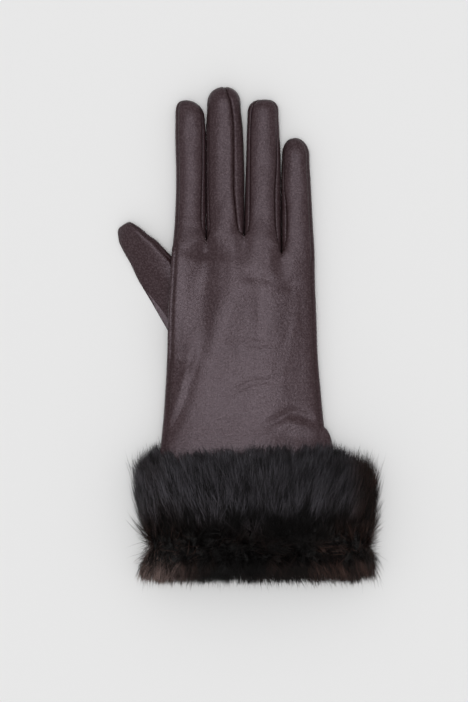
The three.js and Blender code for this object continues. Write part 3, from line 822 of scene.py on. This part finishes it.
def strand_mesh(name, seed, settings):
    """A share of the fur as thin tapered three-sided hairs in clumps. Each hair's line is
    root + length * (run * t + outward * (lean * t - curl * t^2)), and a clump's hairs draw
    together towards its tip."""
    random = np.random.default_rng(seed)
    per_clump, length = settings.per_clump, settings.length
    clumps = settings.strands // per_clump
    y, angle = surface_samples(random, clumps)
    y, angle = (np.repeat(values, per_clump) for values in (y, angle))
    total = len(y)
    centre, normal = fur_point(y, angle, 0), outward(y, angle)
    sweep = unit(fur_point(y, angle + SMALL_TURN, 0) - centre)
    offset = CLUMP_SPREAD * np.sqrt(random.random(total))[:, None]
    turn = random.random(total)[:, None] * 2 * math.pi
    offset = offset * (np.cos(turn) * sweep + np.sin(turn) * np.array([0, 1, 0]))

    def per_clump_noise(size):
        """Normal random numbers that the hairs of a clump share."""
        return np.repeat(random.normal(size=(clumps, size)), per_clump, axis=0)

    run, near_crease = hair_run(centre)
    run = run + (HAIR["clump_jitter"] + HAIR["crease_jitter"] * near_crease) * per_clump_noise(3)
    run = run + HAIR["jitter"] * random.normal(size=(total, 3))
    run = unit(run - normal * np.sum(run * normal, axis=1, keepdims=True))
    wisp = random.random(total) < HAIR["wisps"]
    size = 1 + HAIR["clump_length_spread"] * per_clump_noise(1)[:, 0]
    size = length * (size + HAIR["length_spread"] * random.normal(size=total))
    size = np.clip(size, HAIR["shortest"] * length, HAIR["longest"] * length)
    size = size * np.where(wisp, HAIR["wisp_length"], 1)
    size = size * mix(HAIR["front_share"], 1, smooth((FUR["y"][-1] - y) / HAIR["front_fade"]))
    size = size * mix(HAIR["end_share"], 1, smooth((y - FUR["y"][0]) / HAIR["end_fade"]))
    lean = HAIR["lean"] + HAIR["clump_lean_spread"] * per_clump_noise(1)[:, 0]
    lean = lean + HAIR["lean_spread"] * random.normal(size=total)
    t = np.linspace(0, 1, STRAND_RINGS + 1)[:, None, None]
    line = centre + run * size[:, None] * t
    line = line + normal * (size[:, None] * (lean[:, None] * t - HAIR["curl"] * t * t) - HAIR["sunk"])
    gather = np.where(wisp, HAIR["wisp_gather"], HAIR["gather"])[:, None]
    line = line + offset * (1 - gather * t ** HAIR["gather_power"])
    side = unit(np.cross(run, normal))
    radius = 1 + HAIR["radius_spread"] * random.normal(size=total)
    radius = HAIR["root_radius"] * radius[:, None]
    line[..., 2] = np.maximum(line[..., 2], FLOOR_CLEARANCE)
    corners = []
    for corner in range(3):
        spin = 2 * math.pi * corner / 3
        towards = math.cos(spin) * side + math.sin(spin) * normal
        corners.append(line[:-1] + radius * (1 - t[:-1]) ** HAIR["taper"] * towards)
    rings = np.stack(corners, 2).transpose(1, 0, 2, 3).reshape(total, -1, 3)
    points = np.concatenate([rings, line[-1][:, None]], axis=1)
    clump_tint = np.repeat(random.random(clumps), per_clump)
    return strands_to_mesh(name, points, mix(random.random(total), clump_tint, CLUMP_TINT))


def strands_to_mesh(name, points, tint):
    """A mesh of hairs from each one's ring corners and tip. Its UV maps hold the hair's tint
    across and the share of its length along."""
    faces, uv = [], []
    width = 1 / 3 / len(tint) ** 0.5
    for ring in range(STRAND_RINGS - 1):
        for a in range(3):
            b = (a + 1) % 3
            low, high = 3 * ring, 3 * ring + 3
            faces += [(low + a, low + b, high + b), (low + a, high + b, high + a)]
    last, tip = 3 * (STRAND_RINGS - 1), 3 * STRAND_RINGS
    faces += [(last + a, last + (a + 1) % 3, tip) for a in range(3)] + [(2, 1, 0)]
    faces = np.array(faces)
    count, per_hair = points.shape[:2]
    every = (faces[None] + (np.arange(count) * per_hair)[:, None, None]).reshape(-1, 3)
    mesh = new_mesh(name, points.reshape(-1, 3), every)
    ring_share = np.append(np.repeat(np.arange(STRAND_RINGS) / STRAND_RINGS, 3), 1)
    corner_share = np.append(np.tile([0, 0.5, 1], STRAND_RINGS), 0.5)
    start = mix(UV_MARGIN, 1 - UV_MARGIN - width, tint)
    across = start[:, None, None] + width * corner_share[faces][None]
    up = np.broadcast_to(mix(UV_MARGIN, 1 - UV_MARGIN, ring_share[faces])[None], across.shape)
    uv = np.stack([across, up], -1).astype(np.float32).ravel()
    for layer in ("OFBake", "strand"):
        mesh.uv_layers.new(name=layer).data.foreach_set("uv", uv)
    return mesh


class Value:
    """The output of a node, which arithmetic with numbers or other outputs adds nodes to."""

    def __init__(self, graph, socket):
        self.graph = graph
        self.socket = socket

    def math(self, operation, *others):
        """Adds a Math node that takes this output and the others."""
        inputs = {i: other for i, other in enumerate((self, *others))}
        return self.graph.node("ShaderNodeMath", inputs, operation=operation)

    def __add__(self, other):
        return self.math("ADD", other)

    def __radd__(self, other):
        return self.math("ADD", other)

    def __sub__(self, other):
        return self.math("SUBTRACT", other)

    def __rsub__(self, other):
        return self * -1 + other

    def __mul__(self, other):
        return self.math("MULTIPLY", other)

    def __rmul__(self, other):
        return self.math("MULTIPLY", other)

    def __truediv__(self, other):
        return self.math("DIVIDE", other)

    def __rtruediv__(self, other):
        return self**-1 * other

    def __pow__(self, other):
        return self.math("POWER", other)


class Graph:
    """The nodes of a material or of the world."""

    def __init__(self, tree):
        self.tree = tree
        self.tree.nodes.clear()

    def node(self, kind, inputs=None, output=0, **settings):
        """Adds a node with settings on it and numbers or other outputs on its inputs."""
        made = self.tree.nodes.new(kind)
        for key, value in settings.items():
            setattr(made, key, value)
        for key, value in (inputs or {}).items():
            if isinstance(value, Value):
                self.tree.links.new(value.socket, made.inputs[key])
            else:
                made.inputs[key].default_value = value
        return Value(self, made.outputs[output]) if made.outputs else made

    def colour_mix(self, factor, a, b):
        """The colour that goes from a to b by a factor."""
        return self.node("ShaderNodeMix", {0: factor, 6: a, 7: b}, 2, data_type="RGBA")

    def noise(self, place, scale, detail, roughness=0.5, distortion=0.0):
        """A cloudy pattern over a place, its scale in waves a metre."""
        inputs = {"Vector": place, "Scale": scale, "Detail": detail}
        inputs.update({"Roughness": roughness, "Distortion": distortion})
        return self.node("ShaderNodeTexNoise", inputs)

    def stretch(self, place, factors, turn=(0, 0, 0)):
        """A place scaled along its axes and turned, for a pattern that is longer one way."""
        return self.node("ShaderNodeMapping", {"Vector": place, "Scale": factors, "Rotation": turn})

    def range(self, value, low, high, to_low=0.0, to_high=1.0):
        """A value between low and high taken over to another range by a smooth step."""
        inputs = {"Value": value, 1: low, 2: high, 3: to_low, 4: to_high}
        return self.node("ShaderNodeMapRange", inputs, interpolation_type="SMOOTHSTEP")


def new_material(name):
    """A new material with its own empty graph."""
    made = bpy.data.materials.new(name)
    made.use_nodes = True
    return made, Graph(made.node_tree)


def colour(rgb):
    """A solid colour as a node's socket takes it."""
    return (*rgb, 1.0)


# The patterns in the leather, the part of each that shows, and how much each one does
LEATHER_NOISE = {
    "cloud": {"scale": 28, "detail": 3},
    "grain": {"scale": 900, "detail": 4, "roughness": 0.65},
    # the pattern of the painted glints: light specks of colour that stand in for highlights on the
    # grain
    "painted_glint": {"scale": 1000, "detail": 2, "roughness": 0.6},
    "drape": {"scale": 60, "detail": 2, "roughness": 0.4, "distortion": 0.4},
    "crease": {"scale": 60, "detail": 3, "roughness": 0.5, "distortion": 0.8},
    "pucker": {"scale": 240, "detail": 1},
}
LEATHER_STRETCH = {"drape": ((1, 0.45, 1), (0, 0, 0.35)), "crease": ((1, 0.5, 1), (0, 0, -0.5))}
PORE_SCALE = 1100.0
# the last range picks out the specks that take the painted glints
CLOUD_RANGE, GRAIN_RANGE, PAINTED_GLINT_RANGE = (0.3, 0.7), (0.3, 0.7), (0.44, 0.62)
CREASE_WIDTH = 0.035
# the first share is how strongly the painted glints lighten the leather
PAINTED_GLINT_SHARE, SEAM_SHARE = 0.75, 0.55
SEAM_SHADE_WIDTH = 1.5 * MM
PUCKER_SPACING, PUCKER_DRIFT = 2.3 * MM, 5
SMOOTHER, ROUGHER = -0.03, 0.04  # the grain's change of the roughness
MATT_ZONE, MATT_GAIN = (30 * MM, 66 * MM), 0.09  # the fingers shine less than the hand
LEATHER_BUMP = in_metres(grain=0.2, pores=0.03, drape=0.8, crease=0.012, pucker=0.05)


def leather_material(settings):
    """Thin smooth glove leather: a dark brown that reddens along the seams, with a fine grain whose
    specks are painted lighter as its glints (painted highlights), soft creases, and puckers that fade
    within a few millimetres of a seam."""
    made, graph = new_material("glove leather")
    place = graph.node("ShaderNodeTexCoord", output="Object")
    y = graph.node("ShaderNodeSeparateXYZ", {0: place}, 1)
    seam = graph.node("ShaderNodeAttribute", output="Fac", attribute_name="seam")
    nearness = ((seam / SEAM_SHADE_WIDTH) ** 2 * -1).math("EXPONENT")
    cloud = graph.noise(place, **LEATHER_NOISE["cloud"])
    grain = graph.noise(place, **LEATHER_NOISE["grain"])
    # painted highlight: a mask of specks over the grain that are painted lighter, standing in for its
    # glints
    painted_glint = graph.range(graph.noise(place, **LEATHER_NOISE["painted_glint"]), *PAINTED_GLINT_RANGE)
    pores = graph.node(
        "ShaderNodeTexVoronoi", {"Vector": place, "Scale": PORE_SCALE}, "Distance", feature="SMOOTH_F1"
    )
    drape, ridge = (
        graph.noise(graph.stretch(place, *LEATHER_STRETCH[name]), **LEATHER_NOISE[name])
        for name in ("drape", "crease")
    )
    crease = graph.range((ridge - 0.5).math("ABSOLUTE"), 0.0, CREASE_WIDTH, -1.0, 0.0)
    beat = graph.noise(place, **LEATHER_NOISE["pucker"])
    wave = (y * (2 * math.pi / PUCKER_SPACING) + beat * PUCKER_DRIFT).math("SINE")
    height = grain * LEATHER_BUMP["grain"] + pores * LEATHER_BUMP["pores"]
    height = height + drape * LEATHER_BUMP["drape"] + crease * LEATHER_BUMP["crease"]
    height = height + wave * nearness * LEATHER_BUMP["pucker"]
    bump = graph.node("ShaderNodeBump", {"Height": height, "Distance": 1.0, "Strength": 1.0})
    cloud = graph.range(cloud, *CLOUD_RANGE)
    base = graph.colour_mix(cloud, colour(settings.colour), colour(settings.worn_colour))
    # paints the grain's glints into the colour
    base = graph.colour_mix(painted_glint * PAINTED_GLINT_SHARE, base, colour(settings.painted_glint_colour))
    base = graph.colour_mix(nearness * SEAM_SHARE, base, colour(settings.seam_colour))
    low, high = settings.roughness + SMOOTHER, settings.roughness + ROUGHER
    rough = graph.range(grain, *GRAIN_RANGE, low, high) + graph.range(y, *MATT_ZONE) * MATT_GAIN
    shader = graph.node(
        "ShaderNodeBsdfPrincipled",
        {
            "Base Color": base,
            "Roughness": rough,
            "Normal": bump,
            "Specular IOR Level": settings.shine,
            "Specular Tint": colour(settings.shine_colour),
        },
    )
    graph.node("ShaderNodeOutputMaterial", {"Surface": shader})
    return made


# Where the hair's colours, its painted sheen and the partly painted light at the cuff's end change:
# along the cuff, then from the middle to its sides
FUR_ZONES = {
    # painted sheen: along the cuff, where the light cool colour standing in for the hairs' reflection
    # begins and where it is full
    "sheen": (-113 * MM, -92 * MM),
    "low": (-108 * MM, -124 * MM),
    "middle": 8 * MM,
    "sides": (26 * MM, 62 * MM),
    # where the painted sheen fades out towards the little finger's side
    "dark_edge": (72 * MM, 58 * MM),
    # the cuff's lower corner on the thumb's side, painted a pale brown: partly the fur's brown, partly
    # painted light that lifts the shade its hairs lie in
    "foot_x": (-28 * MM, -50 * MM),
    "foot_y": (-122 * MM, -136 * MM),
}
FUR_PATCH_SCALE = 40
FUR_RAGGED = in_metres(patch=34, tint=20)  # how far the zones' edges wander
BROWN_SHARES = {"patch": 0.8, "low_sides": 0.75, "sides": 0.25, "tint": 0.4}
BROWN_RANGE = (0.55, 1.2)
PALE_RANGE, LEAST_PALE = (0.32, 0.78), 0.06
ROOT_SHARE = 0.5  # of a hair's length, over which it loses its roots' colour


def fur_material(settings):
    """Hair that goes from black-brown to a reddish brown from one strand to the next, with a painted
    sheen on the upper fur (a light cool colour standing in for the hairs' reflection), a pale brown
    corner at the cuff's end that is partly painted light, and dark roots. The strands' tint and length
    share are read from their own UV map."""
    made, graph = new_material("fur")
    uv = graph.node("ShaderNodeUVMap", uv_map="strand")
    tint, share = (graph.node("ShaderNodeSeparateXYZ", {0: uv}, axis) for axis in (0, 1))
    place = graph.node("ShaderNodeTexCoord", output="Object")
    patch = graph.noise(place, FUR_PATCH_SCALE, 2)
    x, y = (graph.node("ShaderNodeSeparateXYZ", {0: place}, axis) for axis in (0, 1))
    ragged_y = y + (patch - 0.5) * FUR_RAGGED["patch"] + (tint - 0.5) * FUR_RAGGED["tint"]
    # painted sheen: a mask over the upper fur, where a light cool colour stands in for the hairs'
    # reflection
    sheen = graph.range(ragged_y, *FUR_ZONES["sheen"]) * graph.range(x, *FUR_ZONES["dark_edge"])
    sides = graph.range((x - FUR_ZONES["middle"]).math("ABSOLUTE"), *FUR_ZONES["sides"])
    low = graph.range(ragged_y, *FUR_ZONES["low"])
    brown = patch * BROWN_SHARES["patch"] + sides * BROWN_SHARES["low_sides"] * low
    brown = brown + sides * BROWN_SHARES["sides"] + tint * BROWN_SHARES["tint"]
    brown = graph.range(brown, *BROWN_RANGE)
    pale = graph.range(tint, *PALE_RANGE, LEAST_PALE, 1.0)
    base = graph.colour_mix(brown * pale, colour(settings.colour), colour(settings.warm_colour))
    # partly painted light: a pale brown over the cuff's lower corner, far lighter than the fur's brown
    # so that it lifts the shade there
    foot = graph.range(x, *FUR_ZONES["foot_x"]) * graph.range(ragged_y, *FUR_ZONES["foot_y"])
    base = graph.colour_mix(foot * pale, base, colour(settings.brown_and_painted_light_colour))
    # paints the sheen into the hairs' colour
    base = graph.colour_mix(sheen * pale, base, colour(settings.painted_sheen_colour))
    base = graph.colour_mix(graph.range(share, 0.0, ROOT_SHARE), colour(settings.root_colour), base)
    shader = graph.node(
        "ShaderNodeBsdfPrincipled",
        {"Base Color": base, "Roughness": settings.roughness, "Specular IOR Level": settings.shine},
    )
    graph.node("ShaderNodeOutputMaterial", {"Surface": shader})
    return made


GROUND_NOISE = {"scale": 300, "detail": 3}
GROUND_ROUGHNESS = 0.9


def ground_material(settings):
    """The dull dark skin under the hairs, mottled from their roots' colour to their own."""
    made, graph = new_material("fur ground")
    mottle = graph.noise(graph.node("ShaderNodeTexCoord", output="Object"), **GROUND_NOISE)
    base = graph.colour_mix(mottle, colour(settings.root_colour), colour(settings.colour))
    inputs = {"Base Color": base, "Roughness": GROUND_ROUGHNESS}
    shader = graph.node("ShaderNodeBsdfPrincipled", inputs)
    graph.node("ShaderNodeOutputMaterial", {"Surface": shader})
    return made


def make_world(settings):
    """A soft white room: its brightness rises from the sides to a point overhead, as a power of
    the cosine of the angle to that point."""
    world = bpy.data.worlds.new("soft room")
    world.use_nodes = True
    bpy.context.scene.world = world
    graph = Graph(world.node_tree)
    way = graph.node("ShaderNodeTexCoord", output="Generated")
    towards = Vector(settings.light_from).normalized()
    facing = graph.node("ShaderNodeVectorMath", {0: way, 1: towards}, "Value", operation="DOT_PRODUCT")
    facing = facing.math("MAXIMUM", 0.0) ** settings.light_power
    strength = facing * (settings.light_above - settings.light_around) + settings.light_around
    shader = graph.node("ShaderNodeBackground", {"Color": (1, 1, 1, 1), "Strength": strength})
    graph.node("ShaderNodeOutputWorld", {"Surface": shader})


FLOOR_ROUGHNESS = 0.8


def make_floor(settings):
    """A plain pale floor that the glove lies on."""
    half = settings.floor_width / 2
    points = np.array([[-half, -half, 0], [half, -half, 0], [half, half, 0], [-half, half, 0]])
    made, graph = new_material("floor")
    inputs = {"Base Color": colour(settings.floor_colour), "Roughness": FLOOR_ROUGHNESS}
    shader = graph.node("ShaderNodeBsdfPrincipled", inputs)
    graph.node("ShaderNodeOutputMaterial", {"Surface": shader})
    floor = add_object("floor", new_mesh("floor", points, np.array([[0, 1, 2, 3]])), made)


def make_camera(settings):
    """A camera straight above, at the photo's scale and shift."""
    x = MM * PHOTO_MM_PER_PIXEL * (PHOTO_WIDTH / 2 - PHOTO_ORIGIN_X)
    y = MM * PHOTO_MM_PER_PIXEL * (PHOTO_ORIGIN_Y - PHOTO_HEIGHT / 2)
    data = bpy.data.cameras.new("camera")
    view_height = MM * PHOTO_MM_PER_PIXEL * PHOTO_HEIGHT
    data.lens = data.sensor_width * (settings.camera_height - settings.camera_focus) / view_height
    camera = bpy.data.objects.new("camera", data)
    camera.location = (x, y, settings.camera_height)
    bpy.context.scene.collection.objects.link(camera)
    bpy.context.scene.camera = camera


class GloveLeatherSettings(bpy.types.PropertyGroup):
    thickness: FloatProperty(
        name="Thickness",
        description="How thick the leather is",
        default=1.2 * MM,
        min=0.2 * MM,
        unit="LENGTH",
    )
    colour: FloatVectorProperty(
        name="Colour",
        description="The leather's darker colour",
        default=(0.026, 0.013, 0.014),
        subtype="COLOR",
    )
    worn_colour: FloatVectorProperty(
        name="Lighter colour",
        description="The colour of its lighter clouds",
        default=(0.032, 0.017, 0.0185),
        subtype="COLOR",
    )
    # painted highlight: the light colour of the specks that stand in for the grain's glints
    painted_glint_colour: FloatVectorProperty(
        name="Speck colour",
        description="The colour of the grain's raised specks",
        default=(0.07, 0.047, 0.051),
        subtype="COLOR",
    )
    seam_colour: FloatVectorProperty(
        name="Seam colour",
        description="The colour along the seams",
        default=(0.018, 0.0065, 0.006),
        subtype="COLOR",
    )
    roughness: FloatProperty(
        name="Roughness", description="How matt the leather is", default=0.28, min=0, max=1
    )
    shine: FloatProperty(
        name="Shine", description="How strongly the leather reflects", default=0.32, min=0, max=1
    )
    shine_colour: FloatVectorProperty(
        name="Shine colour",
        description="The tint of its reflections",
        default=(1, 0.86, 0.97),
        subtype="COLOR",
    )


class GloveFurSettings(bpy.types.PropertyGroup):
    strands: IntProperty(
        name="Strands",
        description="How many hairs each of the fur's pieces has",
        default=10000,
        min=100,
        max=10000,
    )
    per_clump: IntProperty(
        name="Hairs in a clump", description="How many hairs draw together", default=9, min=1
    )
    length: FloatProperty(
        name="Length", description="How long a hair is", default=17 * MM, min=1 * MM, unit="LENGTH"
    )
    seed: IntProperty(name="Seed", description="Changes where every hair stands", default=7)
    colour: FloatVectorProperty(
        name="Colour",
        description="The colour of most hairs",
        default=(0.0026, 0.0019, 0.0018),
        subtype="COLOR",
    )
    # painted sheen: a light cool colour that stands in for the hairs' reflection on the upper fur
    painted_sheen_colour: FloatVectorProperty(
        name="Sheen colour",
        description="The cool colour of the upper fur",
        default=(0.11, 0.103, 0.118),
        subtype="COLOR",
    )
    warm_colour: FloatVectorProperty(
        name="Warm colour",
        description="The colour of the brownest hairs",
        default=(0.075, 0.041, 0.033),
        subtype="COLOR",
    )
    # partly the fur's brown, partly painted light: a pale colour that lifts the shade at the cuff's
    # lower corner
    brown_and_painted_light_colour: FloatVectorProperty(
        name="End colour",
        description="The colour at the cuff's end on the thumb's side",
        default=(0.36, 0.26, 0.235),
        subtype="COLOR",
    )
    root_colour: FloatVectorProperty(
        name="Root colour",
        description="The colour at the roots",
        default=(0.0018, 0.0013, 0.0013),
        subtype="COLOR",
    )
    roughness: FloatProperty(
        name="Roughness", description="How matt a hair is", default=0.34, min=0, max=1
    )
    shine: FloatProperty(
        name="Shine", description="How strongly a hair reflects", default=0.2, min=0, max=1
    )


class GloveStageSettings(bpy.types.PropertyGroup):
    floor_width: FloatProperty(
        name="Floor width", description="The floor's width", default=6.0, unit="LENGTH"
    )
    floor_colour: FloatVectorProperty(
        name="Floor colour",
        description="The floor's colour",
        default=(0.84, 0.84, 0.84),
        subtype="COLOR",
    )
    light_from: FloatVectorProperty(
        name="Light from", description="Where the room is brightest", default=(-0.02, -0.02, 1.0)
    )
    light_power: FloatProperty(
        name="Light spread", description="Higher keeps the bright part smaller", default=48.0, min=0.1
    )
    light_above: FloatProperty(
        name="Light above", description="The room's brightness overhead", default=11.4
    )
    light_around: FloatProperty(
        name="Light around", description="The room's brightness at its sides", default=0.52
    )
    camera_height: FloatProperty(
        name="Camera height",
        description="The camera's height over the floor",
        default=2.0,
        unit="LENGTH",
    )
    camera_focus: FloatProperty(
        name="Focus height",
        description="The height that is seen at the photo's scale",
        default=10 * MM,
        unit="LENGTH",
    )


class GLOVE_OT_hand(bpy.types.Operator):
    """Make the leather over and under the hand and the fingers"""

    bl_idname = "glove.hand"
    bl_label = "Hand"

    def execute(self, context):
        panels = glove_panels()
        parts = upper_parts(panels) + lower_parts(panels)
        add_leather("trank", parts, context.scene.glove_leather)
        return {"FINISHED"}


class GLOVE_OT_fourchettes(bpy.types.Operator):
    """Make the forked strips between the fingers"""

    bl_idname = "glove.fourchettes"
    bl_label = "Finger sides"

    def execute(self, context):
        panels = glove_panels()
        for left, right in zip(NAMES, NAMES[1:]):
            parts = fourchette_parts(panels, left, right)
            add_leather(f"fourchette_{left}_{right}", parts, context.scene.glove_leather)
        return {"FINISHED"}


class GLOVE_OT_thumb(bpy.types.Operator):
    """Make the thumb"""

    bl_idname = "glove.thumb"
    bl_label = "Thumb"

    def execute(self, context):
        grid = thumb_grid()
        parts = [(grid, seam_distance(grid, 0, 0), False)]
        add_leather("thumb", parts, context.scene.glove_leather)
        return {"FINISHED"}


class GLOVE_OT_gusset(bpy.types.Operator):
    """Make the pleated insert at the outer side of the wrist"""

    bl_idname = "glove.gusset"
    bl_label = "Side gusset"

    def execute(self, context):
        grid = gusset_grid()
        parts = [(grid, seam_distance(grid, None, None), True)]
        add_leather("side_gusset", parts, context.scene.glove_leather)
        return {"FINISHED"}


class GLOVE_OT_fur(bpy.types.Operator):
    """Make the fur: its dark ground and its hairs"""

    bl_idname = "glove.fur"
    bl_label = "Fur cuff"

    def execute(self, context):
        settings = context.scene.glove_fur
        ground = add_object("glove_fur_ground", ground_mesh(), ground_material(settings))
        dress(ground, "fur_cuff")
        material = fur_material(settings)
        for piece in range(STRAND_PIECES):
            name = f"glove_fur_hair_{piece + 1}"
            mesh = strand_mesh(name, settings.seed + piece, settings)
            dress(add_object(name, mesh, material), "fur_cuff")
        return {"FINISHED"}


class GLOVE_OT_stage(bpy.types.Operator):
    """Make the floor, the light and the camera"""

    bl_idname = "glove.stage"
    bl_label = "Stage"

    def execute(self, context):
        settings = context.scene.glove_stage
        context.scene.view_settings.view_transform = "Standard"
        make_world(settings)
        make_floor(settings)
        make_camera(settings)
        return {"FINISHED"}


def shared_leather(settings):
    """The one leather material that every leather piece takes."""
    return bpy.data.materials.get("glove leather") or leather_material(settings)


OPERATORS = (
    GLOVE_OT_hand,
    GLOVE_OT_fourchettes,
    GLOVE_OT_thumb,
    GLOVE_OT_gusset,
    GLOVE_OT_fur,
    GLOVE_OT_stage,
)


class GLOVE_PT_panel(bpy.types.Panel):
    """Every size and colour of the glove, and a button for each piece"""

    bl_idname = "GLOVE_PT_panel"
    bl_label = "Glove"
    bl_space_type = "VIEW_3D"
    bl_region_type = "UI"
    bl_category = "Glove"

    def draw(self, context):
        for group in (context.scene.glove_leather, context.scene.glove_fur, context.scene.glove_stage):
            box = self.layout.box()
            for name in group.__annotations__:
                box.prop(group, name)
        for operator in OPERATORS:
            self.layout.operator(operator.bl_idname)


GROUPS = {
    "glove_leather": GloveLeatherSettings,
    "glove_fur": GloveFurSettings,
    "glove_stage": GloveStageSettings,
}


def register():
    for name, group in GROUPS.items():
        bpy.utils.register_class(group)
        setattr(bpy.types.Scene, name, PointerProperty(type=group))
    for item in (*OPERATORS, GLOVE_PT_panel):
        bpy.utils.register_class(item)


def unregister():
    for item in reversed((*OPERATORS, GLOVE_PT_panel)):
        bpy.utils.unregister_class(item)
    for name, group in GROUPS.items():
        delattr(bpy.types.Scene, name)
        bpy.utils.unregister_class(group)


def main():
    register()
    bpy.ops.glove.hand()
    bpy.ops.glove.fourchettes()
    bpy.ops.glove.thumb()
    bpy.ops.glove.gusset()
    bpy.ops.glove.fur()
    bpy.ops.glove.stage()


if __name__ == "__main__":
    main()
